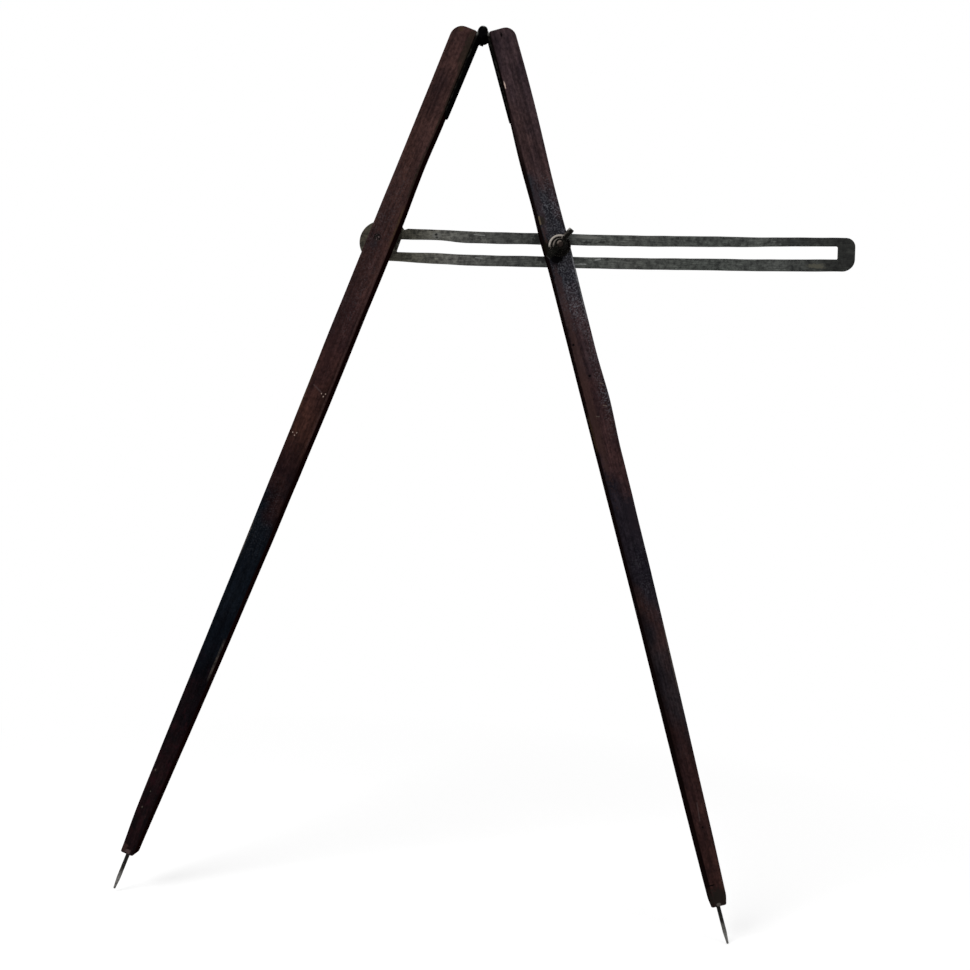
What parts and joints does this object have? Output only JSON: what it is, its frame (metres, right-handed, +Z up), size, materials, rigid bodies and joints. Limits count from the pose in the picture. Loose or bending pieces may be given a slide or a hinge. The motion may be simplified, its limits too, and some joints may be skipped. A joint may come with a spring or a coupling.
{
  "type": "wooden dividers",
  "caption": "Large wooden dividers with steel points, a long-leaved hinge at the top and a slotted iron bar locked by a wing nut to hold the spread.",
  "frame": {"origin": "on the axis of the top hinge, midway between its front and back ends", "axes": "+Z up, +X to the right across the spread legs, +Y from front to back along the hinge pin; the front, with the wing nut, faces -Y"},
  "size_m": [0.7047, 0.0507, 0.8944],
  "materials": {
    "leg_wood": "dark stained hardwood, worn and rubbed",
    "point_steel": "bare steel, dulled",
    "hinge_iron": "blackened iron",
    "bar_iron": "forged flat iron, grey and scuffed",
    "rivet_steel": "worn steel",
    "clamp_steel": "aged steel, oily"
  },
  "bodies": {
    "left_leg": {"left_leg": "leg_wood", "left_point": "point_steel", "left_hinge_leaf": "hinge_iron", "left_leaf_screws": "rivet_steel", "hinge_pin": "hinge_iron", "pivot_rivet": "rivet_steel", "pivot_burr": "hinge_iron", "pivot_back_washer": "bar_iron"},
    "right_leg": {"right_leg": "leg_wood", "right_point": "point_steel", "right_hinge_leaf": "hinge_iron", "right_leaf_screws": "rivet_steel", "clamp_bolt": "clamp_steel", "clamp_back_washer": "bar_iron"},
    "bar": {"slotted_bar": "bar_iron"},
    "clamp_washer": {"clamp_front_washer": "clamp_steel"},
    "wing_nut": {"wing_nut": "clamp_steel"}
  },
  "joints": [
    {"name": "leg_spread", "type": "hinge", "parent": "left_leg", "child": "right_leg", "pos_m": [0, 0, 0], "axis": [0, -1, 0], "range_deg": [-36.8, 90]},
    {"name": "bar_swing", "type": "hinge", "parent": "left_leg", "child": "bar", "pos_m": [-0.09101, 0, -0.20896], "axis": [0, -1, 0], "range_deg": [-17.6, 42.9]},
    {"name": "clamp_back_off", "type": "slide", "parent": "right_leg", "child": "clamp_washer", "axis": [0, -1, 0], "range_m": [0, 0.0026]},
    {"name": "wing_nut_turn", "type": "hinge", "parent": "clamp_washer", "child": "wing_nut", "pos_m": [0.09022, 0, -0.20658], "axis": [0, -1, 0], "range_deg": [0, 720]}
  ],
  "couplings": [
    {"joint": "bar_swing", "follows": "leg_spread", "ratio": 0.4754},
    {"joint": "clamp_back_off", "follows": "wing_nut_turn", "m_per_rad": 0.00020213}
  ]
}
